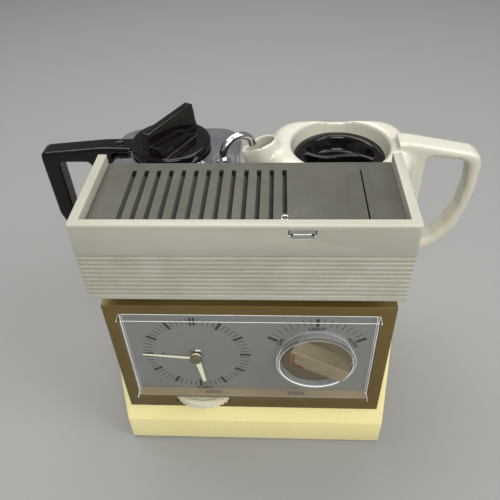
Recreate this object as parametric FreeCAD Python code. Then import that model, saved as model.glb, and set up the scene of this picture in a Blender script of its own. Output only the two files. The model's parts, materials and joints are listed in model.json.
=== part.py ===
"""Bedside tea maker: a clock, lamp and weight switch in one cream base, with a kettle
that siphons into a teapot beside it. All lengths are millimetres.

The pieces are drawn from the middle of the lamp shade's front edge at table level:
+X is right, towards the teapot, +Y is back and +Z is up. SHIFT then moves them all so
that the origin is the middle of the whole appliance's footprint, on the table.
"""
import FreeCAD, Part
import math
import os
from FreeCAD import Vector

SHIFT = Vector(-4.6, -88, 0)

# Base casing
BASE_HALF = 107.6
BASE_FRONT = 8.0
BASE_BACK = 168.0
BASE_FOOT = 1.5
PLINTH_TOP = 28.2
LEAN = 0.26
DECK_Z = 184.2
TOWER_BACK = 79.5
TRAY_Z = 100.0
WALL = 2.6
FOOT_R = 8.0
EDGE_R = 2.2
CORNER_R = 14.0
CORD_X = 70.0
CORD_Z = 22.0

# Clock front
BEZEL_HALF = 100.7
BEZEL_FRONT = 9.0
BEZEL_LOW = 48.3
BEZEL_HIGH = 169.5
LENS_HALF = 90.7
LENS_FRONT = 2.5
LENS_LOW = 68.2
LENS_HIGH = 160.4
LENS_WALL = 2.0
DIAL_FRONT = 11.2
DIAL_THICK = 1.2
DIAL_Z = 114.5
CLOCK_X = -40.0
KNOB_X = 48.5
COLLAR_R = 28.7
COLLAR_WALL = 2.0
KNOB_R = 25.3
KNOB_FRONT = 0.8
KNOB_FACE = 7.8
GRIP_HALF = 5.8
GRIP_SPREAD = 8.0
POINTER_REACH = 24.4
WHEEL_R = 29.0
WHEEL_Y = 31.0
WHEEL_Z = (54.5, 60.5)
WHEEL_RIDGES = 48
SET_X = -14.0
SET_Z = 87.0
HOUR_ANGLE = 173.0
MINUTE_ANGLE = 276.0
OFF_ANGLE = 149.5

# Lamp shade and grille
SHADE_HALF = 102.5
SHADE_DEEP = 77.3
SHADE_LOW = 184.7
SHADE_HIGH = 247.0
SHADE_WALL = 6.0
GRILLE_Z = 239.5
SLOT_FIRST = -76.2
SLOT_PITCH = 8.41
SLOT_COUNT = 13
SLOT_WIDTH = 3.0
TONGUE_FALL = 3.2
CREASE_X = 75.0
CLIP_SLOT = (26.5, 43.0, 239.4, 243.2)
CLIP_DROP = 2.3
CLIP_INSET = 1.6
RIB_PITCH = 3.6
RIB_COUNT = 10
LAMP_Y = 64.0
LAMP_Z = 205.5

# Kettle
KETTLE_X = (-106.0, -8.0)
KETTLE_Y = (84.5, 155.0)
KETTLE_FOOT = 102.3
PLATFORM_TOP = 102.0
PLATFORM_THICK = 1.6
KETTLE_TOP = 225.0
KETTLE_WALL = 1.2
KETTLE_FLOOR = 113.0
NECK_X = -59.5
NECK_Y = 115.0
LID_R = 29.6
COLLAR_RING_R = 30.4
LID_Z = 230.2
GRIP_TOP = 254.0
GRIP_TURN = 62.0
TUBE_R = 3.0
TUBE_X = -19.5
TUBE_Y = 102.0
HANDLE_Y = 120.5
HANDLE_THICK = 16.0
SCREW_Z = 226.4
TILT_Y = 147.0
TILT_Z = 95.0

# Teapot
POT_X = (14.0, 120.0)
POT_Y = (84.5, 165.0)
POT_TOP = 228.0
POT_FOOT = 100.3
POT_WALL = 4.0
POT_LID_X = 67.0
POT_LID_Y = 123.0
POT_LID_Z = 216.0
POT_LID_R = 35.0
SPOUT_Y = 118.0
RIDGE_STEPS = 16


def box(x0, y0, z0, x1, y1, z1):
    return Part.makeBox(x1 - x0, y1 - y0, z1 - z0, Vector(x0, y0, z0))


def rod(x, y, z, radius, length, axis="z"):
    way = {"x": Vector(1, 0, 0), "y": Vector(0, 1, 0), "z": Vector(0, 0, 1)}[axis]
    return Part.makeCylinder(radius, length, Vector(x, y, z), way)


def ring(x, y, z, outer, inner, length, axis="z"):
    return rod(x, y, z, outer, length, axis).cut(rod(x, y, z, inner, length, axis))


def fuse(pieces):
    whole = pieces[0]
    for piece in pieces[1:]:
        whole = whole.fuse(piece)
    return whole.removeSplitter()


def cut(solid, tools):
    for tool in tools:
        solid = solid.cut(tool)
    return solid


def slab(points, across, start, thickness):
    """A flat piece whose outline lies across one axis, thickened along that axis."""
    place = {
        "x": lambda a, b: Vector(start, a, b),
        "y": lambda a, b: Vector(a, start, b),
        "z": lambda a, b: Vector(a, b, start),
    }[across]
    wire = Part.makePolygon([place(a, b) for a, b in points + points[:1]])
    way = {"x": Vector(thickness, 0, 0), "y": Vector(0, thickness, 0), "z": Vector(0, 0, thickness)}
    return Part.Face(wire).extrude(way[across])


def edges_along(solid, axis):
    chosen = []
    for edge in solid.Edges:
        if len(edge.Vertexes) != 2:
            continue
        run = edge.Vertexes[1].Point - edge.Vertexes[0].Point
        if run.Length > 1 and abs(abs(run.normalize().dot(axis)) - 1) < 1e-6:
            chosen.append(edge)
    return chosen


def edges_at(solid, low, high):
    return [edge for edge in solid.Edges if edge.BoundBox.ZMin >= low and edge.BoundBox.ZMax <= high]


def rounded_box(x, y, z, corner, top=0.0):
    """A box with rounded upright edges, and a rounded top edge where top is given."""
    solid = box(x[0], y[0], z[0], x[1], y[1], z[1])
    solid = solid.makeFillet(corner, edges_along(solid, Vector(0, 0, 1)))
    if top:
        solid = solid.makeFillet(top, edges_at(solid, z[1] - 0.01, z[1] + 0.01))
    return solid


def lean_y(z):
    """Where the casing's leaning front is at a height."""
    return BASE_FRONT + LEAN * (z - PLINTH_TOP)


def turned(solid, angle, x, z):
    """Turn a piece clockwise, as seen from the front, about a point of the dial."""
    piece = solid.copy()
    piece.rotate(Vector(x, 0, z), Vector(0, 1, 0), angle)
    return piece


# Base ---------------------------------------------------------------------------------

SCREW_SPOTS = [(x, y) for x in (-94.0, 94.0) for y in (24.0, 155.0)]
FOOT_SPOTS = [(x, y) for x in (-78.0, 78.0) for y in (24.0, 152.0)]
PLATE_Z = (2.0, 3.4)


def front_outline(inset):
    """The front casing seen from the side: plinth, leaning front, deck and upright back."""
    foot = BASE_FOOT - inset
    slope = math.hypot(1, LEAN) * inset
    back = TOWER_BACK - inset
    outline = [
        (BASE_FRONT + inset, foot),
        (BASE_FRONT + inset, PLINTH_TOP),
        (lean_y(DECK_Z - inset) + slope, DECK_Z - inset),
        (back, DECK_Z - inset),
    ]
    if inset:
        way_back = TOWER_BACK + 1
        return outline + [(back, TRAY_Z - inset), (way_back, TRAY_Z - inset), (way_back, foot)]
    return outline + [(back, foot)]


def screw_boss(x, y):
    """A screw pillar under the casing, webbed to the nearest side wall."""
    side = 1 if x > 0 else -1
    pillar = rod(x, y, PLATE_Z[1], 4.5, 20)
    wall = side * (BASE_HALF - 1)
    web = box(min(x, wall), y - 1, PLATE_Z[1], max(x, wall), y + 1, 20)
    return pillar.fuse(web).cut(rod(x, y, 0, 1.5, 40))


def front_casing():
    outer = slab(front_outline(0), "x", -BASE_HALF, 2 * BASE_HALF)
    rounded = []
    for edge in outer.Edges:
        bounds = edge.BoundBox
        at_foot = bounds.ZMax < BASE_FOOT + 1
        at_join = bounds.YMin > TOWER_BACK - 1 and bounds.ZLength > 10
        if not at_foot and not at_join:
            rounded.append(edge)
    outer = outer.makeFillet(EDGE_R, rounded)
    shell = outer.cut(slab(front_outline(WALL), "x", WALL - BASE_HALF, 2 * (BASE_HALF - WALL)))
    wire_holes = [box(x - 5, 60, DECK_Z - 10, x + 5, 66, DECK_Z + 5) for x in (-55.0, 55.0)]
    shell = cut(shell, wire_holes + [
        box(-86, 5, 70, 86, 60, 157),
        box(CLOCK_X - 28, 5, 52.5, CLOCK_X + 28, 30, 62.5),
    ])
    return fuse([shell] + [screw_boss(x, y) for x, y in SCREW_SPOTS if y < TOWER_BACK])


def rear_tray():
    """The low back half of the base, with a well for the kettle's platform."""
    outer = box(-BASE_HALF, TOWER_BACK, BASE_FOOT, BASE_HALF, BASE_BACK, TRAY_Z)
    corners = [edge for edge in edges_along(outer, Vector(0, 0, 1)) if edge.BoundBox.YMin > BASE_BACK - 1]
    outer = outer.makeFillet(CORNER_R, corners)
    upper = edges_at(outer, TRAY_Z - 0.1, TRAY_Z + 0.1)
    rim = [edge for edge in upper if edge.BoundBox.YMax > TOWER_BACK + 1]
    outer = outer.makeFillet(EDGE_R, rim)
    inner = box(WALL - BASE_HALF, TOWER_BACK - 1, -1, BASE_HALF - WALL, BASE_BACK - WALL, TRAY_Z - WALL)
    corners = [edge for edge in edges_along(inner, Vector(0, 0, 1)) if edge.BoundBox.YMin > BASE_BACK - 9]
    inner = inner.makeFillet(CORNER_R - WALL, corners)
    vents = [box(x, BASE_BACK - 8, 36, x + 3, BASE_BACK + 2, 52) for x in range(-20, 50, 8)]
    shell = cut(outer.cut(inner), vents + [
        box(-103, 88, 90, -12, 150, 110),
        rod(SET_X, 150, SET_Z, 2.6, 30, "y"),
        rod(CORD_X, 150, CORD_Z, 6.0, 30, "y"),
    ])
    hinge_posts = []
    for x in (-104.5, -11.5):
        post = box(x, TILT_Y - 4, TILT_Z - 4, x + 2.4, TILT_Y + 4, TRAY_Z - WALL)
        hinge_posts.append(post.cut(rod(x - 1, TILT_Y, TILT_Z, 1.5, 5, "x")))
    return fuse([shell] + hinge_posts + [screw_boss(x, y) for x, y in SCREW_SPOTS if y > TOWER_BACK])


def base_plate():
    edge = BASE_HALF - WALL - 0.4
    plate = box(-edge, BASE_FRONT + WALL + 0.4, PLATE_Z[0], edge, BASE_BACK - WALL - 0.4, PLATE_Z[1])
    corners = edges_along(plate, Vector(0, 0, 1))
    plate = plate.makeFillet(12, [edge for edge in corners if edge.BoundBox.YMin > 100])
    holes = [rod(x, y, 0, 1.7, 10) for x, y in SCREW_SPOTS]
    vents = [box(x, 60, 0, x + 3, 100, 10) for x in range(-24, 26, 8)]
    return cut(plate, holes + vents)


def base_screws():
    screws = []
    for x, y in SCREW_SPOTS:
        head = rod(x, y, PLATE_Z[0] - 1.4, 3.2, 1.4).cut(box(x - 4, y - 0.4, 0, x + 4, y + 0.4, 1.2))
        screws.append(fuse([head, rod(x, y, PLATE_Z[0] - 0.2, 1.5, 13)]))
    return Part.makeCompound(screws)


def rubber_feet():
    feet = []
    for x, y in FOOT_SPOTS:
        foot = Part.makeCone(FOOT_R - 1.2, FOOT_R, PLATE_Z[0], Vector(x, y, 0))
        feet.append(foot)
    return Part.makeCompound(feet)


def cord_gland():
    collar = rod(CORD_X, BASE_BACK, CORD_Z, 8.5, 2.4, "y")
    neck = rod(CORD_X, BASE_BACK - 8, CORD_Z, 5.9, 9, "y")
    return fuse([collar, neck]).cut(rod(CORD_X, BASE_BACK - 9, CORD_Z, 3.6, 20, "y"))


def gland_nut():
    return ring(CORD_X, BASE_BACK - 7, CORD_Z, 9.0, 6.1, 4, "y")


def terminal_block():
    block = box(45, 120, PLATE_Z[1], 85, 134, PLATE_Z[1] + 12)
    return cut(block, [rod(x, 127, PLATE_Z[1] + 5, 2.0, 20) for x in (52, 65, 78)])


def buzzer():
    case = rod(30, 45, PLATE_Z[1], 17, 12)
    return cut(case, [box(10 + 6 * i, 30, PLATE_Z[1] + 10, 12 + 6 * i, 60, 40) for i in range(1, 6)])


# Clock --------------------------------------------------------------------------------

def clock_bezel():
    outline = [(BEZEL_FRONT, BEZEL_LOW), (BEZEL_FRONT, BEZEL_HIGH),
               (lean_y(BEZEL_HIGH), BEZEL_HIGH), (lean_y(BEZEL_LOW), BEZEL_LOW)]
    frame = slab(outline, "x", -BEZEL_HALF, 2 * BEZEL_HALF)
    opening = box(-LENS_HALF - 0.3, 0, LENS_LOW - 0.3, LENS_HALF + 0.3, 60, LENS_HIGH + 0.3)
    narrow, wide = 20.5, 27.0
    slot = slab([(CLOCK_X - narrow, BEZEL_FRONT - 1), (CLOCK_X + narrow, BEZEL_FRONT - 1),
                 (CLOCK_X + wide, 18), (CLOCK_X - wide, 18)], "z", 53.3, 8.4)
    return cut(frame, [opening, slot])


def clock_lens():
    back = DIAL_FRONT - 0.1
    body = box(-LENS_HALF, LENS_FRONT, LENS_LOW, LENS_HALF, back, LENS_HIGH)
    body = body.makeFillet(1.0, [e for e in body.Edges if e.BoundBox.YMax < LENS_FRONT + 0.1])
    hollow = box(-LENS_HALF + LENS_WALL, LENS_FRONT + LENS_WALL, LENS_LOW + LENS_WALL,
                 LENS_HALF - LENS_WALL, back + 1, LENS_HIGH - LENS_WALL)
    collar = rod(KNOB_X, LENS_FRONT, DIAL_Z, COLLAR_R, back - LENS_FRONT, "y")
    bore = rod(KNOB_X, 0, DIAL_Z, COLLAR_R - COLLAR_WALL, 30, "y")
    return fuse([body.cut(hollow), collar]).cut(bore)


def lens_floor_strip():
    inner = LENS_HALF - LENS_WALL - 0.2
    floor = LENS_LOW + LENS_WALL
    strip = box(-inner, LENS_FRONT + LENS_WALL + 0.1, floor, inner, DIAL_FRONT, floor + 0.8)
    windows = [box(x - 6.5, 6.5, 60, x + 6.5, 9.5, 80) for x in (-30.0, 35.0)]
    return cut(strip, windows)


def dial_plate():
    plate = box(-LENS_HALF, DIAL_FRONT, LENS_LOW, LENS_HALF, DIAL_FRONT + DIAL_THICK, LENS_HIGH)
    return cut(plate, [rod(CLOCK_X, 0, DIAL_Z, 3.4, 30, "y"), rod(KNOB_X, 0, DIAL_Z, 5.0, 30, "y")])


def movement_case():
    front = DIAL_FRONT + DIAL_THICK
    case = box(CLOCK_X - 36, front, 80, CLOCK_X + 36, front + 30, 149)
    hollow = box(CLOCK_X - 34, front + 2, 82, CLOCK_X + 34, front + 28, 147)
    case = case.cut(hollow)
    pillars = [rod(x, front + 1, z, 3, 28, "y") for x in (CLOCK_X - 29, CLOCK_X + 29) for z in (87, 142)]
    case = fuse([case] + pillars)
    return case.cut(rod(CLOCK_X, 0, DIAL_Z, 2.95, 60, "y"))


def clock_motor():
    y = DIAL_FRONT + DIAL_THICK + 30
    coil = rod(CLOCK_X + 12, y, 132, 12, 14, "y")
    lug = box(CLOCK_X - 8, y, 128, CLOCK_X + 32, y + 2, 136)
    return fuse([coil, lug])


def alarm_bracket():
    low = box(CLOCK_X - 12, 26, WHEEL_Z[0] - 4, CLOCK_X + 12, 70, WHEEL_Z[0] - 2)
    high = box(CLOCK_X - 12, 26, WHEEL_Z[1] + 2, CLOCK_X + 12, 70, WHEEL_Z[1] + 4)
    back = box(CLOCK_X - 12, 68, WHEEL_Z[0] - 4, CLOCK_X + 12, 70, WHEEL_Z[1] + 4)
    foot = box(CLOCK_X - 12, 68, PLATE_Z[1], CLOCK_X + 12, 70, WHEEL_Z[0] - 2)
    frame = fuse([low, high, back, foot])
    return frame.cut(rod(CLOCK_X, WHEEL_Y, 40, 2.0, 40))


def alarm_axle():
    return rod(CLOCK_X, WHEEL_Y, WHEEL_Z[0] - 5, 2.0, WHEEL_Z[1] - WHEEL_Z[0] + 10)


def alarm_wheel():
    low, high = WHEEL_Z
    disc = rod(CLOCK_X, WHEEL_Y, low, WHEEL_R, high - low)
    hub = rod(CLOCK_X, WHEEL_Y, low - 1.6, 6, high - low + 3.2)
    dish = ring(CLOCK_X, WHEEL_Y, high - 1.8, WHEEL_R - 4, 8, 3)
    notches = []
    for i in range(WHEEL_RIDGES):
        angle = 2 * math.pi * i / WHEEL_RIDGES
        x = CLOCK_X + WHEEL_R * math.cos(angle)
        y = WHEEL_Y + WHEEL_R * math.sin(angle)
        notches.append(rod(x, y, low - 1, 0.9, high - low + 2))
    wheel = fuse([disc, hub]).cut(dish).cut(Part.makeCompound(notches))
    return wheel.cut(rod(CLOCK_X, WHEEL_Y, low - 5, 2.05, 20))


def hand(points, angle, y, thickness, bore):
    """A clock hand drawn pointing to twelve, then turned to its angle."""
    outline = points + [(-a, b) for a, b in reversed(points)]
    blade = slab([(CLOCK_X + a, DIAL_Z + b) for a, b in outline], "y", y, thickness)
    boss = rod(CLOCK_X, y, DIAL_Z, 3.6, thickness, "y")
    whole = fuse([blade, boss]).cut(rod(CLOCK_X, y - 1, DIAL_Z, bore, 5, "y"))
    return turned(whole, angle, CLOCK_X, DIAL_Z)


def hour_hand():
    return hand([(2.3, 2.0), (1.2, 31.0)], HOUR_ANGLE, 8.7, 0.5, 2.6)


def hour_tube():
    return ring(CLOCK_X, 8.3, DIAL_Z, 2.6, 1.65, 12, "y")


def minute_hand():
    return hand([(1.0, 2.0), (0.55, 39.5)], MINUTE_ANGLE, 6.9, 0.5, 1.6)


def minute_arbor():
    return rod(CLOCK_X, 6.7, DIAL_Z, 1.6, 16, "y")


def hub_cap():
    cap = rod(CLOCK_X, 4.9, DIAL_Z, 4.4, 1.8, "y")
    return cap.makeFillet(0.6, [e for e in cap.Edges if e.BoundBox.YMax < 5.0])


def set_shaft():
    return rod(SET_X, 43, SET_Z, 2.0, BASE_BACK + 6 - 43, "y")


def set_knob():
    y = BASE_BACK + 0.6
    knob = rod(SET_X, y, SET_Z, 9.0, 7.4, "y")
    flutes = []
    for i in range(16):
        angle = 2 * math.pi * i / 16
        flutes.append(rod(SET_X + 9.6 * math.cos(angle), y - 1, SET_Z + 9.6 * math.sin(angle), 1.3, 9, "y"))
    return knob.cut(Part.makeCompound(flutes)).cut(rod(SET_X, y - 1, SET_Z, 2.0, BASE_BACK + 6 - y + 1, "y"))


# Control knob -------------------------------------------------------------------------

def rotary_switch():
    y = DIAL_FRONT + DIAL_THICK
    body = rod(KNOB_X, y, DIAL_Z, 17, 20, "y")
    tags = [box(KNOB_X + x - 1.5, y + 18, DIAL_Z - 12, KNOB_X + x + 1.5, y + 27, DIAL_Z - 11.2)
            for x in (-9, 0, 9)]
    return fuse([body] + tags).cut(rod(KNOB_X, 0, DIAL_Z, 3.06, 30, "y"))


def switch_shaft():
    return rod(KNOB_X, 8.5, DIAL_Z, 3.0, 21, "y")


def grip_outline(spread):
    """Outline of the knob's bar seen from the front: one end is cut to a point at its upper corner."""
    half = GRIP_HALF + spread
    slant_top = POINTER_REACH + 1.83 * spread
    slant_foot = POINTER_REACH - 7.5 + 0.55 * spread
    tail = -KNOB_R - 1
    return [(slant_top, -half), (slant_foot, half), (tail, half), (tail, -half)]


def grip_wire(spread, y):
    spots = [Vector(KNOB_X + a, y, DIAL_Z + b) for a, b in grip_outline(spread)]
    return Part.makePolygon(spots + spots[:1])


def control_knob():
    disc = rod(KNOB_X, KNOB_FACE - 0.2, DIAL_Z, KNOB_R, 3.2, "y")
    bar = Part.makeLoft([grip_wire(0, KNOB_FRONT), grip_wire(GRIP_SPREAD, KNOB_FACE)], True, True)
    bar = bar.common(rod(KNOB_X, -2, DIAL_Z, KNOB_R, 20, "y"))
    bar.rotate(Vector(KNOB_X, 0, DIAL_Z), Vector(0, 1, 0), -OFF_ANGLE)
    return fuse([disc, bar]).cut(rod(KNOB_X, 8.5, DIAL_Z, 3.0, 10, "y"))


# Lamp ---------------------------------------------------------------------------------

def lamp_shade():
    outer = box(-SHADE_HALF, 0, SHADE_LOW, SHADE_HALF, SHADE_DEEP, SHADE_HIGH)
    inner = box(-SHADE_HALF + SHADE_WALL, SHADE_WALL, 0, SHADE_HALF - SHADE_WALL, 200, 300)
    outer = outer.makeFillet(1.5, [e for e in outer.Edges if e.BoundBox.YMax < 1])
    shade = outer.cut(inner)
    first = SHADE_HIGH - 24.5
    for i in range(RIB_COUNT):
        z = first - RIB_PITCH * i
        groove = box(-SHADE_HALF - 1, -1, z - 0.5, SHADE_HALF + 1, SHADE_DEEP + 1, z + 0.5)
        core = box(-SHADE_HALF + 0.9, 0.9, z - 1, SHADE_HALF - 0.9, SHADE_DEEP + 2, z + 1)
        shade = shade.cut(groove.cut(core))
    x0, x1, z0, z1 = CLIP_SLOT
    clip_slot = box(x0, -1, z0, x1, SHADE_WALL + 1, z1)
    notch = box(x0 + CLIP_INSET, -1, z0 - CLIP_DROP, x1 - CLIP_INSET, SHADE_WALL + 1, z0 + 1)
    clip_slot = clip_slot.fuse(notch)
    ledges = []
    for side in (-1, 1):
        x = side * (SHADE_HALF - SHADE_WALL - 1)
        ledges.append(box(x - 1.5, 8, GRILLE_Z - 4, x + 1.5, SHADE_DEEP - 4, GRILLE_Z - 1))
    return fuse([shade] + ledges).cut(clip_slot)


def grille_plate():
    """A sheet folded down at the back; a sloping tongue is pressed down under each slot."""
    half = SHADE_HALF - SHADE_WALL - 0.3
    front = SHADE_WALL + 0.3
    under = GRILLE_Z - 1
    slot_end = SHADE_DEEP - 9
    top = box(-half, front, under, half, SHADE_DEEP, GRILLE_Z)
    back = box(-half, SHADE_DEEP - 1, SHADE_LOW + 0.4, half, SHADE_DEEP, GRILLE_Z)
    slots = [box(CREASE_X - 0.5, front + 1.5, under - 1, CREASE_X + 0.5, slot_end, GRILLE_Z + 1)]
    tongues = []
    for i in range(SLOT_COUNT):
        left = SLOT_FIRST + SLOT_PITCH * i - SLOT_WIDTH / 2
        start = 21.0 if i == SLOT_COUNT - 1 else front + 1.5
        slots.append(box(left, start, under - 1, left + SLOT_WIDTH, slot_end, GRILLE_Z + 1))
        low = under - TONGUE_FALL
        slope = [(left - 0.6, under + 0.3), (left + 0.2, under + 0.3), (left + SLOT_WIDTH + 0.3, low),
                 (left + SLOT_WIDTH - 0.5, low)]
        tongues.append(slab(slope, "y", start, slot_end - 5 - start))
    return fuse([fuse([top, back]).cut(Part.makeCompound(slots))] + tongues)


def shade_clip():
    """A sheet-metal catch: a strap across the slot, with a lip turned down below it."""
    x0, x1, z0, z1 = CLIP_SLOT
    low = z0 - CLIP_DROP + 0.3
    strap = box(x0 + 0.7, 0.5, z0 + 1.0, x1 - 0.7, 1.7, z1 - 0.3)
    lip = box(x0 + CLIP_INSET + 0.3, 0.1, low, x1 - CLIP_INSET - 0.3, 1.2, z0 + 0.1)
    web = box(x0 + 3, 1.1, low, x1 - 3, 1.9, z1 - 0.3)
    root = box(x0 + 3, 1.2, low, x1 - 3, 22, low + 0.8)
    return fuse([strap, lip, web, root])


def wire_clip():
    x = SLOT_FIRST + SLOT_PITCH * (SLOT_COUNT - 1)
    return Part.makeTorus(2.2, 0.5, Vector(x, 16, GRILLE_Z + 0.5), Vector(0, 0, 1))


def lamp_chassis():
    deck = box(-88, 50.5, DECK_Z, 88, 75, DECK_Z + 1.2)
    ears = [box(x - 1.2, 54, DECK_Z, x + 1.2, 74, DECK_Z + 26) for x in (-78.0, 78.0)]
    holes = [rod(x, 63, 170, 3.0, 30) for x in (-55.0, 55.0)]
    return cut(fuse([deck] + ears), holes)


def lamp_holders():
    starts = (-76.8, 56.8)
    return Part.makeCompound([ring(x, LAMP_Y, LAMP_Z, 8.0, 6.7, 20, "x") for x in starts])


def lamp_bulbs():
    bulbs = []
    for side in (-1, 1):
        cap = rod(side * 66.5 - 9.5, LAMP_Y, LAMP_Z, 6.5, 19, "x")
        glass = Part.makeSphere(10.0, Vector(side * 45, LAMP_Y, LAMP_Z))
        neck = rod(min(side * 45, side * 60), LAMP_Y, LAMP_Z, 6.2, 15, "x")
        bulbs.append(fuse([cap, neck, glass]))
    return Part.makeCompound(bulbs)


# Kettle platform ----------------------------------------------------------------------

def kettle_platform():
    under = PLATFORM_TOP - PLATFORM_THICK
    plate = rounded_box((-102.5, -12.5), (88.5, 149.5), (under, PLATFORM_TOP), 5)
    lugs = [box(x, TILT_Y - 2.4, TILT_Z - 2.6, x + 3, TILT_Y + 2.4, under + 0.5) for x in (-100.0, -18.0)]
    return fuse([plate] + lugs).cut(rod(-110, TILT_Y, TILT_Z, 1.55, 110, "x"))


def hinge_pin():
    return rod(-104.5, TILT_Y, TILT_Z, 1.5, 95.4, "x")


def platform_connector():
    block = box(-72, 122, PLATFORM_TOP, -42, 134, PLATFORM_TOP + 4.6)
    pins = [rod(x, 128, PLATFORM_TOP + 4, 1.5, 4.5) for x in (-65, -57, -49)]
    return fuse([block] + pins)


def weigh_bracket():
    shelf = box(-82, TOWER_BACK, 74, -30, 112, 76)
    tab = box(-82, TOWER_BACK - WALL + 2.6, 74, -30, TOWER_BACK + 2, TRAY_Z - WALL)
    peg = rod(-70, 101, 75, 2.2, 8)
    return fuse([shelf, tab, peg])


def weight_switch():
    body = box(-54, 94, 76, -36, 106, 91)
    return body.cut(rod(-45, 100, 80, 2.05, 30))


def switch_plunger():
    return rod(-45, 100, 84, 2.0, PLATFORM_TOP - PLATFORM_THICK - 0.3 - 84)


def platform_spring():
    coil = Part.makeHelix(3.2, 23.2, 4.2)
    coil.translate(Vector(-70, 101, 76.6))
    start = Vector(-70 + 4.2, 101, 76.6)
    section = Part.Wire(Part.makeCircle(0.5, start, Vector(0, 1, 0)))
    spring = Part.Wire(coil).makePipeShell([section], True, True)
    return spring


# Kettle -------------------------------------------------------------------------------

def kettle_body():
    x0, x1 = KETTLE_X
    y0, y1 = KETTLE_Y
    wall = KETTLE_WALL
    outer = rounded_box((x0, x1), (y0, y1), (KETTLE_FOOT, KETTLE_TOP), 20, 5)
    inside = rounded_box((x0 + wall, x1 - wall), (y0 + wall, y1 - wall),
                         (KETTLE_FLOOR, KETTLE_TOP - wall), 20 - wall, 5 - wall)
    under = rounded_box((x0 + wall, x1 - wall), (y0 + wall, y1 - wall),
                        (KETTLE_FOOT - 5, KETTLE_FLOOR - wall), 20 - wall)
    neck = rod(NECK_X, NECK_Y, KETTLE_TOP - 5, 24.2, 10)
    tube = rod(TUBE_X, TUBE_Y, KETTLE_TOP - 5, TUBE_R + 0.05, 10)
    return cut(outer, [inside, under, neck, tube])


def neck_ring():
    collar = ring(NECK_X, NECK_Y, KETTLE_TOP, COLLAR_RING_R, 24.2, 4.0)
    skirt = ring(NECK_X, NECK_Y, KETTLE_TOP - 4, 24.2, 23.4, 8.0)
    return fuse([collar, skirt])


def lid_seal():
    return ring(NECK_X, NECK_Y, LID_Z - 0.9, 26.5, 21.8, 0.7)


def lid_grip():
    """A tall tapered bar across the lid, with a lower sloping shelf along its right side."""
    wires = []
    for half_long, half_wide, z in ((28.0, 4.6, LID_Z + 4), (26.4, 3.4, GRIP_TOP)):
        corners = [(-1, -1), (1, -1), (1, 1), (-1, 1)]
        spots = [Vector(NECK_X + a * half_long, NECK_Y + b * half_wide, z) for a, b in corners]
        wires.append(Part.makePolygon(spots + spots[:1]))
    bar = Part.makeLoft(wires, True, True)
    low, far = LID_Z + 4, NECK_X + 27
    side = [(NECK_X - 20, low), (far, low), (far, LID_Z + 15), (NECK_X - 6, LID_Z + 11)]
    shelf = slab(side, "y", NECK_Y, 12.5)
    chamfer = [(NECK_Y + 8, LID_Z + 18), (NECK_Y + 14, LID_Z + 18), (NECK_Y + 14, LID_Z + 6)]
    shelf = shelf.cut(slab(chamfer, "x", NECK_X - 30, 60))
    grip = fuse([bar, shelf]).common(rod(NECK_X, NECK_Y, LID_Z, LID_R - 1.5, 40))
    grip.rotate(Vector(NECK_X, NECK_Y, 0), Vector(0, 0, 1), GRIP_TURN - 180)
    return grip


def kettle_lid():
    disc = rod(NECK_X, NECK_Y, LID_Z, LID_R, 6.0)
    disc = disc.makeFillet(1.6, [e for e in disc.Edges if e.BoundBox.ZMin > LID_Z + 5])
    plug = ring(NECK_X, NECK_Y, LID_Z - 9, 21.4, 18.5, 9.0)
    return fuse([disc, plug, lid_grip()])


def kettle_handle():
    """A D-shaped grip under a flat top bar that reaches in to the lid."""
    y = HANDLE_Y - HANDLE_THICK / 2
    top = KETTLE_TOP + 0.1
    wall = KETTLE_X[0] - 0.1
    outline = [(-88, top), (-88, 229.6), (-112, 230.4), (-158, 226.4), (-161.5, 224.5), (-162, 220),
               (-161, 168), (-153, 146), (-142, 134), (-128, 127.5), (wall, 125), (wall, top)]
    gap = slab([(-124, 217.5), (-149, 217.5), (-148.5, 172), (-141, 152), (-124, 142)], "y", y - 1,
               HANDLE_THICK + 2)
    gap = gap.makeFillet(4, edges_along(gap, Vector(0, 1, 0)))
    grip = slab(outline, "y", y, HANDLE_THICK).cut(gap)
    clear = KETTLE_X[0] - 3
    rims = [edge for edge in grip.Edges if edge.BoundBox.YLength < 0.01 and edge.BoundBox.XMax < clear]
    grip = grip.makeFillet(2.4, rims)
    screw_pocket = rod(-100, HANDLE_Y, SCREW_Z, 2.6, 10)
    lid_sweep = rod(NECK_X, NECK_Y, KETTLE_TOP - 1, COLLAR_RING_R + 0.3, 20)
    return cut(grip, [screw_pocket, lid_sweep])


def handle_screw():
    head = rod(-100, HANDLE_Y, SCREW_Z, 2.5, 1.2)
    return head.cut(box(-103, HANDLE_Y - 0.4, SCREW_Z + 0.6, -97, HANDLE_Y + 0.4, SCREW_Z + 2))


def siphon_path():
    """Straight up out of the kettle, over in one arch, and down towards the spout."""
    base = Vector(TUBE_X, TUBE_Y, 118)
    spring = Vector(TUBE_X, TUBE_Y, 229)
    way = Vector(3.0 - TUBE_X, 118.0 - TUBE_Y, 0)
    span = way.Length
    way.normalize()
    radius = span / 2 - 1.2
    centre = spring + way * radius
    turn = math.radians(170)
    middle = centre - way * (radius * math.cos(turn / 2)) + Vector(0, 0, radius * math.sin(turn / 2))
    end = centre - way * (radius * math.cos(turn)) + Vector(0, 0, radius * math.sin(turn))
    arch = Part.Arc(spring, middle, end).toShape()
    return Part.Wire([Part.LineSegment(base, spring).toShape(), arch])


def siphon_tube():
    path = siphon_path()
    start = Vector(TUBE_X, TUBE_Y, 118)
    outer = path.makePipeShell([Part.Wire(Part.makeCircle(TUBE_R, start, Vector(0, 0, 1)))], True, True)
    inner = path.makePipeShell([Part.Wire(Part.makeCircle(TUBE_R - 0.7, start, Vector(0, 0, 1)))], True, True)
    return outer.cut(inner)


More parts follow.
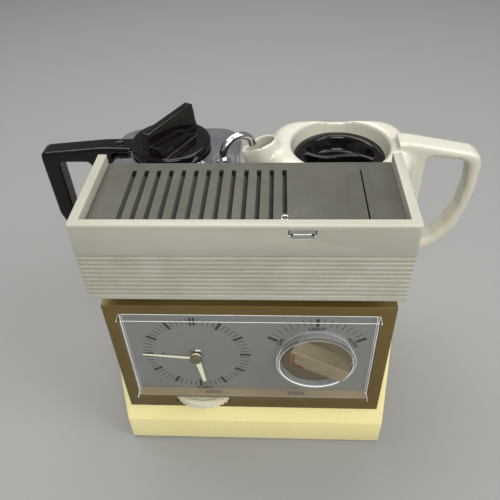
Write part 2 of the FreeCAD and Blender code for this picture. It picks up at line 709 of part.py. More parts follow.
def tube_nut():
    corners = [(TUBE_X + 5.6 * math.cos(math.radians(60 * i)), TUBE_Y + 5.6 * math.sin(math.radians(60 * i)))
               for i in range(6)]
    nut = slab(corners, "z", KETTLE_TOP, 4.0)
    return nut.cut(rod(TUBE_X, TUBE_Y, 200, TUBE_R, 40))


def heating_element():
    z = KETTLE_FLOOR + 8
    run = Part.makeTorus(20, 3, Vector(NECK_X - 4, 118, z), Vector(0, 0, 1))
    legs = [rod(NECK_X - 4 + x, 118, KETTLE_FLOOR, 2.6, 8) for x in (-20.0, 20.0)]
    return fuse([run] + legs)


def kettle_terminal():
    low = KETTLE_FLOOR - KETTLE_WALL
    block = box(-74, 120, low - 4.2, -40, 136, low)
    return cut(block, [rod(x, 128, low - 10, 1.9, 9.4) for x in (-65, -57, -49)])


# Teapot -------------------------------------------------------------------------------

def spout_ring(x, z, half_long, half_wide, rise, point):
    """One section of the spout: an oval, drawn out to the left into a lip by its point."""
    spots = []
    for i in range(16):
        angle = 2 * math.pi * i / 16
        left = max(0.0, -math.cos(angle))
        a = half_long * math.cos(angle) * (1 + 0.12 * point * left)
        b = half_wide * math.sin(angle) * (1 - 0.55 * point * left ** 1.5)
        spots.append(Vector(x + a, SPOUT_Y + b, z + rise * a))
    curve = Part.BSplineCurve()
    curve.interpolate(spots, True)
    return Part.Wire(curve.toShape())


def spout(wall, past):
    """The spout's outer form, or with a wall thickness its channel, which runs a little past the mouth."""
    rings = [spout_ring(26, 168, 17 - wall, 18 - wall, 0.0, 0),
             spout_ring(18, 197, 17 - wall, 16 - wall, 0.1, 0.1),
             spout_ring(11.0, 217, 15.0 - wall, 13.0 - wall, 0.25, 0.5),
             spout_ring(6.0, 231.6 + past, 12.4 - wall + 0.4 * past, 9.6 - wall, 0.42, 1.0)]
    return Part.makeLoft(rings, True)


def pot_handle():
    y = SPOUT_Y - 9
    outline = [(108, 234.5), (119, 234), (140, 230), (163, 225.4), (169, 222), (171.2, 215),
               (171.2, 196), (169.5, 177), (164.5, 158), (157, 144.5), (149, 136.5), (140.5, 131.5),
               (128, 126.5), (112, 122)]
    gap = slab([(130, 222.5), (155, 219.6), (161.5, 215.5), (163.3, 197), (161.5, 176), (155, 158),
                (146, 146), (138, 141), (130, 138)], "y", y - 1, 20)
    gap = gap.makeFillet(4, edges_along(gap, Vector(0, 1, 0)))
    body = slab(outline, "y", y, 18).cut(gap)
    rims = [edge for edge in body.Edges if edge.BoundBox.YLength < 0.01 and edge.BoundBox.XMin > 118]
    return body.makeFillet(3.0, rims)


def teapot_body():
    x0, x1 = POT_X
    y0, y1 = POT_Y
    wall = POT_WALL
    outer = rounded_box((x0, x1), (y0, y1), (POT_FOOT, POT_TOP), 26, 12)
    hollow = rounded_box((x0 + wall, x1 - wall), (y0 + wall, y1 - wall), (POT_FOOT + 5, POT_LID_Z - 4), 22, 8)
    dish = Part.makeCone(POT_LID_R + 0.6, POT_LID_R + 2.5, POT_TOP - POT_LID_Z + 3,
                         Vector(POT_LID_X, POT_LID_Y, POT_LID_Z - 2.8))
    mouth = rod(POT_LID_X, POT_LID_Y, 200, POT_LID_R - 4, 30)
    whole = fuse([outer, spout(0.0, 0.0), pot_handle()])
    return cut(whole, [hollow, dish, mouth, spout(2.6, 2.0)])


def lid_ridge(floor):
    """The thin S-shaped wall between the two finger wells."""
    half, width, sway, height = 28.0, 2.2, 4.6, POT_LID_Z - floor + 2.2
    spots = []
    for i in range(RIDGE_STEPS + 1):
        along = half * (2 * i / RIDGE_STEPS - 1)
        across = sway * math.sin(math.pi * along / half)
        spots.append(Vector(POT_LID_X + along, POT_LID_Y + across, floor - 1))
    pieces = []
    for near, far in zip(spots, spots[1:]):
        run = far - near
        side = Vector(-run.y, run.x, 0).normalize() * width
        outline = [near + side, far + side, far - side, near - side]
        flat = Part.Face(Part.makePolygon(outline + outline[:1]))
        pieces.append(flat.extrude(Vector(0, 0, height)))
        pieces.append(rod(far.x, far.y, floor - 1, width, height))
    ridge = fuse(pieces)
    ridge.rotate(Vector(POT_LID_X, POT_LID_Y, 0), Vector(0, 0, 1), -14)
    return ridge.common(rod(POT_LID_X, POT_LID_Y, floor - 1, 29, 30))


def pot_lid():
    """A flat rim round two deep finger wells, divided by a ridge."""
    floor = POT_LID_Z - 9
    disc = rod(POT_LID_X, POT_LID_Y, POT_LID_Z - 2.4, POT_LID_R, 4.4)
    disc = disc.makeFillet(1.5, [e for e in disc.Edges if e.BoundBox.ZMin > POT_LID_Z])
    cup = rod(POT_LID_X, POT_LID_Y, floor - 2, 30.0, POT_LID_Z - floor + 2)
    well = Part.makeCone(23, 28, POT_LID_Z - floor + 3, Vector(POT_LID_X, POT_LID_Y, floor))
    return fuse([fuse([disc, cup]).cut(well), lid_ridge(floor)])


PIECES = [
    front_casing, rear_tray, base_plate, base_screws, rubber_feet, cord_gland, gland_nut,
    terminal_block, buzzer, clock_bezel, clock_lens, lens_floor_strip, dial_plate, movement_case,
    clock_motor, alarm_bracket, alarm_axle, alarm_wheel, hour_hand, hour_tube, minute_hand,
    minute_arbor, hub_cap, set_shaft, set_knob, rotary_switch, switch_shaft, control_knob,
    lamp_shade, grille_plate, shade_clip, wire_clip, lamp_chassis, lamp_holders, lamp_bulbs,
    kettle_platform, hinge_pin, platform_connector, weigh_bracket, weight_switch, switch_plunger,
    platform_spring, kettle_body, neck_ring, lid_seal, kettle_lid, kettle_handle, handle_screw,
    siphon_tube, tube_nut, heating_element, kettle_terminal, teapot_body, pot_lid,
]
NODES = {piece.__name__: piece for piece in PIECES}

os.makedirs("parts", exist_ok=True)
for name, build in NODES.items():
    shape = build()
    shape.translate(SHIFT)
    shape.exportStep(f"parts/{name}.step")
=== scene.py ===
import bmesh
import bpy
import json
import math
from mathutils import Matrix, Vector


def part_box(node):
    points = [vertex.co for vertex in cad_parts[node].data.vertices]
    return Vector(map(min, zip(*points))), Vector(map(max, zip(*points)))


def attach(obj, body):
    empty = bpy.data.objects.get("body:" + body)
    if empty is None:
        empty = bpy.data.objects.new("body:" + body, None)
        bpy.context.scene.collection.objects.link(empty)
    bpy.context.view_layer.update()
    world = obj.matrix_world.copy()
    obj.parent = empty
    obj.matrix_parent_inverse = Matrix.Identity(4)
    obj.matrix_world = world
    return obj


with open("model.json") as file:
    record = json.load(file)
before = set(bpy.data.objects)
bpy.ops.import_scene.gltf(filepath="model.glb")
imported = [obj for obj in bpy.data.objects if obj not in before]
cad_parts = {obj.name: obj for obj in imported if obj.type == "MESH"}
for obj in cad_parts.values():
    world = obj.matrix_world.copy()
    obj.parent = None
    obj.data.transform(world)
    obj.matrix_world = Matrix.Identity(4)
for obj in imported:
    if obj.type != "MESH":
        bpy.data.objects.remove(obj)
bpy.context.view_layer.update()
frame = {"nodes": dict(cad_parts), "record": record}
nodes = frame["nodes"]
MM = 0.001

# The printed dial, in millimetres from the centre of the clock or of the knob, and degrees
# anticlockwise from three o'clock.
MARK_INNER, MARK_OUTER = 32.5, 40.5
TICK_WIDTH = 0.55
HOUR_WIDTH = 2.3
OFF_ANGLE, LIGHT_ANGLE, AUTO_ANGLE = 149.5, 90.0, 30.5
WORD_R = 29.8
ALARM_WORD_UP = -42.3
NEON_X = (-34.6, 30.4)

# The lens's collar round the knob, and the knob's red line: (along, across) the grip's face.
COLLAR_REACH = 28.8 * MM
RED_LINE_OUTER = ((22.6, -4.2), (16.9, 5.8), (8.0, 5.8))
RED_LINE_INNER = ((21.4, -4.4), (16.2, 4.6), (8.3, 4.6))

# The heights between which the shade is ribbed.
RIB_LOW, RIB_HIGH = 0.189, 0.2235


# Stage -------------------------------------------------------------------------------

CAMERA_TURN = (41.49, -4.145, -2.552)
CAMERA_PLACE = (0.0171, -0.3287, 0.4420)
CAMERA_LENS = 39.35
FLOOR_HALF = 6.0
WARM, COOL = (1, 0.99, 0.97), (0.98, 0.99, 1)


def make_camera():
    """A hand-held view from above the clock, a little right of the middle."""
    pitch, yaw, roll = (math.radians(a) for a in CAMERA_TURN)
    ahead = Vector((math.sin(yaw) * math.cos(pitch), math.cos(yaw) * math.cos(pitch), -math.sin(pitch)))
    right = Vector((math.cos(yaw), -math.sin(yaw), 0))
    up = right.cross(ahead)
    tilted_right = math.cos(roll) * right + math.sin(roll) * up
    tilted_up = math.cos(roll) * up - math.sin(roll) * right
    data = bpy.data.cameras.new("camera")
    data.sensor_width = 36
    data.lens = CAMERA_LENS
    camera = bpy.data.objects.new("camera", data)
    turn = Matrix((tilted_right, tilted_up, -ahead)).transposed().to_4x4()
    camera.matrix_world = Matrix.Translation(CAMERA_PLACE) @ turn
    bpy.context.scene.collection.objects.link(camera)
    bpy.context.scene.camera = camera


def make_light(name, place, target, size, power, tint):
    data = bpy.data.lights.new(name, "AREA")
    data.shape = "RECTANGLE"
    data.size, data.size_y = size
    data.energy = power
    data.color = tint
    light = bpy.data.objects.new(name, data)
    light.location = place
    light.rotation_euler = (Vector(target) - Vector(place)).to_track_quat("-Z", "Y").to_euler()
    bpy.context.scene.collection.objects.link(light)


def make_stage():
    make_light("ceiling_panel", (-0.3, 0.45, 1.6), (0, 0, 0.1), (1.7, 1.3), 25, WARM)
    make_light("window_side", (1.2, -0.5, 1.4), (0, 0, 0.12), (0.9, 1.0), 16, COOL)
    make_light("front_fill", (0.2, -1.6, 1.5), (0, 0, 0.12), (1.3, 0.9), 29, WARM)
    world = bpy.data.worlds.new("room")
    world.use_nodes = True
    background = world.node_tree.nodes["Background"]
    background.inputs["Color"].default_value = (0.9, 0.91, 0.93, 1)
    background.inputs["Strength"].default_value = 0.26
    bpy.context.scene.world = world
    mesh = bpy.data.meshes.new("floor")
    corners = [(x * FLOOR_HALF, y * FLOOR_HALF, 0) for x, y in ((-1, -1), (1, -1), (1, 1), (-1, 1))]
    mesh.from_pydata(corners, [], [(0, 1, 2, 3)])
    floor = bpy.data.objects.new("floor", mesh)
    paper = Recipe("floor_paper")
    paper.set(Base_Color=(0.265, 0.265, 0.26, 1), Roughness=0.8)
    paper.bump(paper.noise(600, 2.0), 0.03, 0.0003)
    floor.data.materials.append(paper.material)
    bpy.context.scene.collection.objects.link(floor)
    bpy.context.scene.view_settings.view_transform = "Standard"


# Materials ---------------------------------------------------------------------------

class Recipe:
    """Builds one material's node tree around its Principled shader."""

    def __init__(self, name):
        self.material = bpy.data.materials.new(name)
        self.material.use_nodes = True
        self.tree = self.material.node_tree
        self.shader = self.tree.nodes["Principled BSDF"]
        self.place = self.add("ShaderNodeTexCoord").outputs["Object"]

    def add(self, kind, **settings):
        node = self.tree.nodes.new(kind)
        for key, value in settings.items():
            setattr(node, key, value)
        return node

    def link(self, start, end):
        self.tree.links.new(start, end)

    def stretched(self, scale):
        mapping = self.add("ShaderNodeMapping")
        mapping.inputs["Scale"].default_value = scale
        self.link(self.place, mapping.inputs["Vector"])
        return mapping.outputs["Vector"]

    def noise(self, scale, detail=4.0, stretch=(1, 1, 1)):
        node = self.add("ShaderNodeTexNoise")
        node.inputs["Scale"].default_value = scale
        node.inputs["Detail"].default_value = detail
        self.link(self.stretched(stretch), node.inputs["Vector"])
        return node.outputs["Fac"]

    def ramp(self, factor, low, high, out_low=0.0, out_high=1.0):
        node = self.add("ShaderNodeMapRange")
        node.inputs["From Min"].default_value = low
        node.inputs["From Max"].default_value = high
        node.inputs["To Min"].default_value = out_low
        node.inputs["To Max"].default_value = out_high
        self.link(factor, node.inputs["Value"])
        return node.outputs["Result"]

    def math(self, operation, a, b=None):
        node = self.add("ShaderNodeMath", operation=operation)
        for socket, value in zip(node.inputs, (a, b)):
            if value is None:
                continue
            if isinstance(value, (int, float)):
                socket.default_value = value
            else:
                self.link(value, socket)
        return node.outputs["Value"]

    def mix(self, factor, first, second):
        """Blend two colours; each may be a fixed colour or another node's output."""
        node = self.add("ShaderNodeMix", data_type="RGBA")
        factor_socket, first_socket, second_socket = node.inputs[0], node.inputs[6], node.inputs[7]
        self.link(factor, factor_socket)
        for socket, value in ((first_socket, first), (second_socket, second)):
            if isinstance(value, tuple):
                socket.default_value = (*value, 1.0)
            else:
                self.link(value, socket)
        return node.outputs[2]

    def bump(self, height, strength, distance):
        node = self.add("ShaderNodeBump")
        node.inputs["Strength"].default_value = strength
        node.inputs["Distance"].default_value = distance
        self.link(height, node.inputs["Height"])
        self.link(node.outputs["Normal"], self.shader.inputs["Normal"])

    def set(self, **values):
        for key, value in values.items():
            self.shader.inputs[key.replace("_", " ")].default_value = value


def surface(name, colour, roughness, metallic=0.0, tint=None, tint_scale=18, tint_high=0.75,
            grain=0.05, grain_scale=900, stretch=(1, 1, 1), coat=0.0, uneven=0.06, **extra):
    """A material with patchy colour, uneven gloss and a fine grain."""
    recipe = Recipe(name)
    patches = recipe.ramp(recipe.noise(tint_scale, 5.0), 0.42, tint_high)
    darker = tint or tuple(c * 0.82 for c in colour)
    recipe.link(recipe.mix(patches, colour, darker), recipe.shader.inputs["Base Color"])
    wear = recipe.noise(tint_scale * 4, 3.0)
    recipe.link(recipe.ramp(wear, 0.3, 0.7, max(roughness - uneven, 0.02), roughness + uneven),
                recipe.shader.inputs["Roughness"])
    recipe.bump(recipe.noise(grain_scale, 2.0, stretch), grain, 0.0004)
    recipe.set(Metallic=metallic, Coat_Weight=coat, Coat_Roughness=0.08)
    recipe.set(**extra)
    return recipe.material


def make_materials():
    cream = (0.92, 0.82, 0.395)
    return {
        "cream_plastic": surface("cream_plastic", cream, 0.33, tint=(0.89, 0.78, 0.35), coat=0.35),
        "dark_plate": surface("dark_plate", (0.05, 0.048, 0.045), 0.5, grain=0.1),
        "zinc_screw": surface("zinc_screw", (0.56, 0.56, 0.54), 0.3, metallic=1.0, grain=0.1),
        "black_rubber": surface("black_rubber", (0.025, 0.025, 0.025), 0.7, grain=0.2),
        "gold_brown": surface("gold_brown", (0.16, 0.108, 0.027), 0.42, metallic=0.35,
                              tint=(0.135, 0.09, 0.021), grain=0.1, grain_scale=2500),
        "clear_acrylic": lens_material("clear_acrylic", 0.025, 0.42),
        # Painted highlight: a brighter, more opaque copy of the lens acrylic that also glows, for the
        # lens's bevelled edges.
        "acrylic_edge_glint": lens_material("acrylic_edge_glint", 0.75, 1.0, painted_glow=0.22),
        "dial_grey": surface("dial_grey", (0.26, 0.265, 0.25), 0.4, tint=(0.235, 0.24, 0.225),
                             grain=0.03, metallic=0.35),
        "taupe_plastic": knob_material("taupe_plastic", (0.30, 0.245, 0.155),
                                       (0.245, 0.197, 0.118), 0.4),
        "strip_taupe": surface("strip_taupe", (0.33, 0.265, 0.17), 0.35, tint=(0.28, 0.22, 0.135),
                               metallic=0.2),
        "grey_plastic": surface("grey_plastic", (0.35, 0.35, 0.33), 0.5),
        "copper_coil": surface("copper_coil", (0.5, 0.2, 0.08), 0.4, metallic=0.8, grain=0.5,
                               grain_scale=700, stretch=(1, 6, 1)),
        "plated_steel": surface("plated_steel", (0.55, 0.55, 0.52), 0.32, metallic=1.0, grain=0.15),
        "ivory_plastic": surface("ivory_plastic", (0.80, 0.76, 0.58), 0.4, coat=0.1),
        "lume_hands": surface("lume_hands", (0.84, 0.86, 0.62), 0.5, tint=(0.78, 0.80, 0.52),
                              tint_scale=120),
        "brass_parts": surface("brass_parts", (0.72, 0.52, 0.22), 0.3, metallic=1.0),
        "milk_plastic": shade_material(),
        "brushed_aluminium": grille_material(),
        "bulb_glass": surface("bulb_glass", (0.9, 0.88, 0.82), 0.25, Transmission_Weight=0.5),
        "chrome": surface("chrome", (0.66, 0.67, 0.69), 0.16, metallic=1.0, tint=(0.52, 0.535, 0.56),
                          grain=0.03, grain_scale=60),
        "black_gloss": surface("black_gloss", (0.004, 0.003, 0.003), 0.1, tint=(0.007, 0.005, 0.004),
                               grain=0.012, uneven=0.04, Specular_IOR_Level=0.3),
        "cream_glaze": surface("cream_glaze", (0.55, 0.53, 0.445), 0.2, tint=(0.53, 0.50, 0.40),
                               tint_scale=9, tint_high=0.8, coat=0.4, grain=0.012, grain_scale=45,
                               uneven=0.03, Subsurface_Weight=0.1, Subsurface_Scale=0.004),
        "ink": surface("ink", (0.012, 0.012, 0.013), 0.5, tint=(0.03, 0.03, 0.03), tint_scale=300),
        "red_ink": surface("red_ink", (0.17, 0.012, 0.009), 0.5, tint=(0.13, 0.009, 0.007),
                           tint_scale=200),
        "neon_window": surface("neon_window", (0.19, 0.15, 0.105), 0.3, tint=(0.155, 0.12, 0.085),
                               tint_scale=90, coat=0.6),
    }


def lens_material(name, cover, shade, painted_glow=0.0):
    """Clear acrylic with a faint haze; near the knob's collar whitish streaks cover more as a painted
    highlight, and the cut edges' copy covers more, is brighter and glows as a painted glint.
    """
    recipe = Recipe(name)
    haze = recipe.noise(25, 4.0)
    thin = recipe.ramp(haze, 0.3, 0.7, cover * 0.7, cover * 1.3)
    low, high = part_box("control_knob")
    spot = recipe.add("ShaderNodeMapping")
    spot.inputs["Location"].default_value = (-(low[0] + high[0]) / 2, 0, -(low[2] + high[2]) / 2)
    spot.inputs["Scale"].default_value = (1, 0, 1)
    recipe.link(recipe.place, spot.inputs["Vector"])
    reach = recipe.add("ShaderNodeVectorMath", operation="LENGTH")
    recipe.link(spot.outputs["Vector"], reach.inputs[0])
    # Painted highlight: whitish streaks on the collar round the knob.
    near_collar = recipe.ramp(reach.outputs["Value"], COLLAR_REACH + 0.4 * MM, COLLAR_REACH)
    streaks = recipe.ramp(recipe.noise(9, 3.0, (1, 45, 1)), 0.35, 0.65, 0.25, 0.6)
    collar_highlight = recipe.math("MULTIPLY", near_collar, streaks)
    recipe.link(recipe.math("MAXIMUM", thin, collar_highlight), recipe.shader.inputs["Alpha"])
    clean = tuple(c * shade for c in (0.93, 0.95, 0.94))
    dusty = tuple(c * shade for c in (0.84, 0.86, 0.83))
    recipe.link(recipe.mix(haze, clean, dusty), recipe.shader.inputs["Base Color"])
    recipe.link(recipe.ramp(haze, 0.3, 0.7, 0.05, 0.12), recipe.shader.inputs["Roughness"])
    # Any emission here is a painted glow, not a lamp.
    recipe.set(IOR=1.49, Emission_Color=(1, 1, 0.96, 1), Emission_Strength=painted_glow)
    return recipe.material


def knob_material(name, light, dark, roughness):
    """Brushed taupe plastic: fine streaks along the grip's face, and painted shade darkening the disc
    behind it.
    """
    recipe = Recipe(name)
    streaks = recipe.noise(90, 6.0, (0.55, 1, 4.5))
    streaked = recipe.mix(recipe.ramp(streaks, 0.35, 0.68), light, dark)
    depth = recipe.add("ShaderNodeSeparateXYZ")
    recipe.link(recipe.place, depth.inputs["Vector"])
    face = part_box("control_knob")[0][1]
    # Painted shade: everything more than about a millimetre behind the grip's face is darkened.
    painted_shade_disc_mask = recipe.ramp(depth.outputs["Y"], face + 0.2 * MM, face + 0.9 * MM)
    painted_shade_disc_colour = tuple(0.62 * c for c in dark)
    recipe.link(recipe.mix(painted_shade_disc_mask, streaked, painted_shade_disc_colour), recipe.shader.inputs["Base Color"])
    recipe.link(recipe.ramp(recipe.noise(60), 0.3, 0.7, roughness - 0.05, roughness + 0.08),
                recipe.shader.inputs["Roughness"])
    recipe.bump(streaks, 0.08, 0.0002)
    recipe.set(Metallic=0.25)
    return recipe.material


def shade_material():
    """Milky acrylic, yellowed, with its ribbed band darkened in patches: partly dust, partly painted
    shade in the grooves.
    """
    recipe = Recipe("milk_plastic")
    patches = recipe.ramp(recipe.noise(14, 5.0), 0.45, 0.75)
    aged = recipe.mix(patches, (0.42, 0.41, 0.345), (0.385, 0.37, 0.30))
    across = recipe.add("ShaderNodeSeparateXYZ")
    recipe.link(recipe.place, across.inputs["Vector"])
    height = across.outputs["Z"]
    in_ribs = recipe.math("MULTIPLY", recipe.ramp(height, RIB_LOW - 2 * MM, RIB_LOW),
                          recipe.ramp(height, RIB_HIGH + MM, RIB_HIGH))
    # Darkening over the ribbed band: partly dust and partly painted shade in the grooves.
    rib_dust_and_shade = recipe.math("MULTIPLY", in_ribs, recipe.ramp(recipe.noise(55, 6.0), 0.35, 0.7, 0.15, 0.6))
    recipe.link(recipe.mix(rib_dust_and_shade, aged, (0.29, 0.275, 0.20)), recipe.shader.inputs["Base Color"])
    recipe.link(recipe.ramp(recipe.noise(40), 0.3, 0.7, 0.28, 0.4), recipe.shader.inputs["Roughness"])
    recipe.bump(recipe.noise(700, 2.0), 0.04, 0.0003)
    recipe.set(Subsurface_Weight=0.3, Subsurface_Scale=0.005, Subsurface_Radius=(1.0, 0.9, 0.75))
    return recipe.material


def grille_material():
    """Aluminium brushed along its slots, with grey oxide bloom and pale specks of dust."""
    recipe = Recipe("brushed_aluminium")
    streaks = recipe.noise(260, 3.0, (1, 0.03, 1))
    bloom = recipe.ramp(recipe.noise(35, 6.0), 0.4, 0.7)
    specks = recipe.ramp(recipe.noise(900, 2.0), 0.66, 0.74)
    colour = recipe.mix(bloom, (0.105, 0.102, 0.084), (0.085, 0.082, 0.066))
    colour = recipe.mix(recipe.math("MULTIPLY", specks, 0.35), colour, (0.20, 0.195, 0.165))
    recipe.link(colour, recipe.shader.inputs["Base Color"])
    recipe.link(recipe.ramp(streaks, 0.3, 0.7, 0.4, 0.56), recipe.shader.inputs["Roughness"])
    recipe.bump(streaks, 0.12, 0.0002)
    recipe.set(Metallic=0.6)
    return recipe.material


def dress_frame(materials):
    """Give every CAD node the material of its slot in the record."""
    for part in frame["record"]["subparts"]:
        mesh = nodes[part["node"]].data
        mesh.materials.clear()
        mesh.materials.append(materials[part["material_slot"]])
    # The lens's second slot, for its bevelled edges, holds the painted glint material.
    nodes["clock_lens"].data.materials.append(materials["acrylic_edge_glint"])
    strip = nodes["lens_floor_strip"].data
    strip.materials.clear()
    strip.materials.append(materials["strip_taupe"])


# Softened edges ----------------------------------------------------------------------

def flatten(node, weld=0.00001):
    """Merge a node's triangles back into flat faces, so that its edges can be rounded."""
    node.modifiers.new("weld", "WELD").merge_threshold = weld
    faces = node.modifiers.new("faces", "DECIMATE")
    faces.decimate_type = "DISSOLVE"
    faces.angle_limit = math.radians(0.5)


def round_edges(name, width, segments=2, angle=32, glint_edge_slot=-1):
    node = nodes[name]
    flatten(node)
    bevel = node.modifiers.new("edges", "BEVEL")
    bevel.width = width * MM
    bevel.segments = segments
    bevel.limit_method = "ANGLE"
    bevel.angle_limit = math.radians(angle)
    bevel.harden_normals = True
    bevel.material = glint_edge_slot
    for polygon in node.data.polygons:
        polygon.use_smooth = True


def cast(name, voxel, rounds, factor=0.5):
    """Give a moulded or glazed node its soft corners: remesh it finely, then relax the surface."""
    node = nodes[name]
    remesh = node.modifiers.new("skin", "REMESH")
    remesh.mode = "VOXEL"
    remesh.voxel_size = voxel * MM
    remesh.use_smooth_shade = True
    relax = node.modifiers.new("relax", "SMOOTH")
    relax.factor = factor
    relax.iterations = rounds


def soften_frame():
    round_edges("lamp_shade", 0.5)
    for name in ("front_casing", "rear_tray"):
        round_edges(name, 0.9, segments=3)
    round_edges("clock_bezel", 0.4)
    # The lens's bevelled edges take material slot 1, the glowing acrylic copy: painted highlight.
    round_edges("clock_lens", 0.6, glint_edge_slot=1)
    round_edges("control_knob", 0.35)
    cast("kettle_handle", 0.9, 8)
    cast("kettle_lid", 0.7, 2)
    cast("pot_lid", 0.7, 30)
    cast("teapot_body", 1.4, 8)


# Print on the dial -------------------------------------------------------------------

class Print:
    """Flat ink on the dial, laid out about one centre of the clock front."""

    def __init__(self, centre_node, face_y):
        low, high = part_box(centre_node)
        self.x = (low[0] + high[0]) / 2
        self.z = (low[2] + high[2]) / 2
        self.y = face_y
        self.mesh = bmesh.new()

    def quad(self, spots):
        """A thin slip of ink with the given corners, in metres across and up from the centre."""
        thick = 0.03 * MM
        front = [self.mesh.verts.new((self.x + a, self.y - thick, self.z + b)) for a, b in spots]
        back = [self.mesh.verts.new((self.x + a, self.y - 0.001 * MM, self.z + b)) for a, b in spots]
        self.mesh.faces.new(front)
        self.mesh.faces.new(back[::-1])
        for i in range(len(spots)):
            j = (i + 1) % len(spots)
            self.mesh.faces.new((front[j], front[i], back[i], back[j]))

    def mark(self, degrees, inner, outer, width, shift=0.0):
        """A radial bar; degrees run anticlockwise from three o'clock, lengths are millimetres."""
        angle = math.radians(degrees)
        ahead = Vector((math.cos(angle), math.sin(angle))) * MM
        side = Vector((-math.sin(angle), math.cos(angle))) * MM
        spots = []
        half = width / 2
        for reach, offset in ((inner, -half), (outer, -half), (outer, half), (inner, half)):
            spots.append(ahead * reach + side * (offset + shift))
        self.quad(spots)

    def word(self, text, across, up, height, degrees=0.0, bold=0.0):
        curve = bpy.data.curves.new("word", "FONT")
        curve.body = text
        curve.size = height * 1.4 * MM
        curve.align_x = "CENTER"
        curve.align_y = "CENTER"
        curve.offset = bold * MM
        curve.extrude = 0.015 * MM
        curve.resolution_u = 3
        source = bpy.data.objects.new("word", curve)
        bpy.context.scene.collection.objects.link(source)
        flat = bpy.data.meshes.new_from_object(source)
        cos, sin = math.cos(math.radians(degrees)), math.sin(math.radians(degrees))
        for vertex in flat.vertices:
            a, b, depth = vertex.co
            vertex.co = (self.x + across * MM + a * cos - b * sin, self.y - 0.016 * MM - depth,
                         self.z + up * MM + a * sin + b * cos)
        self.mesh.from_mesh(flat)
        bpy.data.objects.remove(source)
        bpy.data.curves.remove(curve)
        bpy.data.meshes.remove(flat)

    def finish(self, name, material, body):
        bmesh.ops.recalc_face_normals(self.mesh, faces=self.mesh.faces)
        return finish_piece(self.mesh, name, material, body)


def finish_piece(mesh, name, material, body, smooth=False):
    data = bpy.data.meshes.new(name)
    mesh.to_mesh(data)
    mesh.free()
    data.materials.append(material)
    for polygon in data.polygons:
        polygon.use_smooth = smooth
    piece = bpy.data.objects.new(name, data)
    bpy.context.scene.collection.objects.link(piece)
    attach(piece, body)
    return piece


def ring_bead(mesh, centre, major, minor, around=72, across=8):
    """A rounded ring facing the front of the clock."""
    rows = []
    for i in range(around):
        turn = 2 * math.pi * i / around
        row = []
        for j in range(across):
            tilt = 2 * math.pi * j / across
            reach = (major + minor * math.cos(tilt)) * MM
            offset = Vector((reach * math.cos(turn), minor * math.sin(tilt) * MM, reach * math.sin(turn)))
            row.append(mesh.verts.new(Vector(centre) + offset))
        rows.append(row)
    for i in range(around):
        for j in range(across):
            after, beside = (i + 1) % around, (j + 1) % across
            mesh.faces.new((rows[i][j], rows[after][j], rows[after][beside], rows[i][beside]))


def dress_clock(materials):
    """The ferrule round the hands' pivot, and the two small windows in the floor strip."""
    low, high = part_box("hub_cap")
    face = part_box("dial_plate")[0][1]
    ferrule = bmesh.new()
    centre = ((low[0] + high[0]) / 2, face - 0.4 * MM, (low[2] + high[2]) / 2)
    for major, minor in ((5.3, 0.55), (4.2, 0.4)):
        ring_bead(ferrule, centre, major, minor)
    finish_piece(ferrule, "pivot_ferrule", materials["plated_steel"], "base", smooth=True)
    strip_low, strip_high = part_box("lens_floor_strip")
    windows = bmesh.new()
    for x in NEON_X:
        for inset, top in ((0.5, 0.15), (1.3, 0.3)):
            sides = bmesh.ops.create_cube(windows, size=1.0)["verts"]
            size = Vector((13 - 2 * inset, 3.0 - 2 * inset * 0.6, 0.5)) * MM
            middle = Vector((x * MM, strip_low[1] + 3.4 * MM, strip_high[2] + (top - 0.55) * MM))
            for vertex in sides:
                vertex.co = middle + Vector(vertex.co[i] * size[i] for i in range(3))
    finish_piece(windows, "neon_windows", materials["neon_window"], "base")


def paint_slot_shadow(materials):
    """A black sheet behind the catch in the shade's front: painted shadow inside the slot."""
    low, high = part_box("shade_clip")
    shade_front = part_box("lamp_shade")[0][1]
    x0, x1 = low[0] - 0.6 * MM, high[0] + 0.6 * MM
    z0, z1 = low[2] - 0.2 * MM, high[2] + 0.2 * MM
    # Painted shadow: a black lining where the inside of the slot lies in shade.
    slot_shadow = bmesh.new()
    rings = []
    for inset, depth in ((0.0, 2.2), (0.0, 5.4), (0.9, 5.8)):
        y = shade_front + depth * MM
        gap = inset * MM
        corners = ((x0 + gap, z0 + gap), (x1 - gap, z0 + gap), (x1 - gap, z1 - gap), (x0 + gap, z1 - gap))
        rings.append([slot_shadow.verts.new((x, y, z)) for x, z in corners])
    for near, far in zip(rings, rings[1:]):
        for i in range(4):
            j = (i + 1) % 4
            slot_shadow.faces.new((near[i], near[j], far[j], far[i]))
    slot_shadow.faces.new(rings[-1])
    bmesh.ops.recalc_face_normals(slot_shadow, faces=slot_shadow.faces)
    bmesh.ops.solidify(slot_shadow, geom=slot_shadow.faces, thickness=0.12 * MM)
    finish_piece(slot_shadow, "catch_slot_shadow", materials["black_rubber"], "shade")


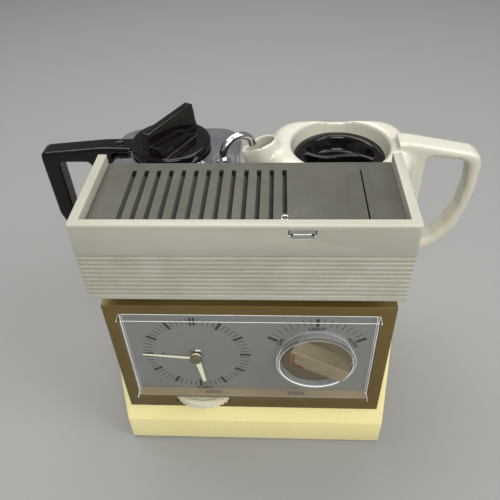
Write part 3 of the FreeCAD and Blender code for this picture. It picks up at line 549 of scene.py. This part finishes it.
def line_the_knob(materials):
    """A red line on the grip's face, round the foot of its pointed end."""
    low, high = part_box("control_knob")
    x, z = (low[0] + high[0]) / 2, (low[2] + high[2]) / 2
    turn = math.radians(OFF_ANGLE)
    line = bmesh.new()

    def spot(along, side):
        """A point just in front of the grip's face, in millimetres along it and across it."""
        across = along * math.cos(turn) - side * math.sin(turn)
        up = along * math.sin(turn) + side * math.cos(turn)
        return line.verts.new((x + across * MM, low[1] - 0.05 * MM, z + up * MM))

    outer = [spot(*place) for place in RED_LINE_OUTER]
    inner = [spot(*place) for place in RED_LINE_INNER]
    for i in range(2):
        line.faces.new((outer[i], outer[i + 1], inner[i + 1], inner[i]))
    bmesh.ops.recalc_face_normals(line, faces=line.faces)
    bmesh.ops.solidify(line, geom=line.faces, thickness=0.05 * MM)
    finish_piece(line, "knob_line", materials["red_ink"], "control")


def print_dial(materials):
    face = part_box("dial_plate")[0][1]
    clock = Print("hub_cap", face)
    for minute in range(60):
        if minute % 5:
            clock.mark(6 * minute, MARK_INNER + 1, MARK_OUTER - 0.5, TICK_WIDTH)
    for hour in range(12):
        degrees = 90 - 30 * hour
        bars = ((1.7, -1.25), (1.7, 1.25)) if hour == 0 else ((HOUR_WIDTH, 0.0),)
        for width, shift in bars:
            clock.mark(degrees, MARK_INNER, MARK_OUTER, width, shift)
    clock.mark(180, 24.2, 25.8, 1.6)
    clock.word("ALARM", 1.0, ALARM_WORD_UP, 2.3, bold=0.15)
    arrow = ((6.7, -1.1), (8.9, 0), (6.7, 1.1))
    clock.quad([(x * MM, (ALARM_WORD_UP + up) * MM) for x, up in arrow])
    clock.finish("clock_print", materials["ink"], "base")
    scale = Print("control_knob", face)
    outer = MARK_OUTER + 0.1
    step = (OFF_ANGLE - LIGHT_ANGLE) / 8
    for start in (LIGHT_ANGLE, AUTO_ANGLE):
        for i in range(1, 8):
            scale.mark(start + step * i, outer - 6.4, outer, TICK_WIDTH)
    for text, degrees in (("OFF", OFF_ANGLE), ("LIGHT", LIGHT_ANGLE), ("AUTO", AUTO_ANGLE)):
        scale.mark(degrees, outer - 8, outer, 2.5)
        turn = math.radians(degrees)
        scale.word(text, WORD_R * math.cos(turn), WORD_R * math.sin(turn), 3.1, degrees - 90, bold=0.17)
    scale.finish("control_print", materials["ink"], "base")


make_camera()
make_stage()
materials = make_materials()
dress_frame(materials)
soften_frame()
print_dial(materials)
dress_clock(materials)
line_the_knob(materials)
paint_slot_shadow(materials)
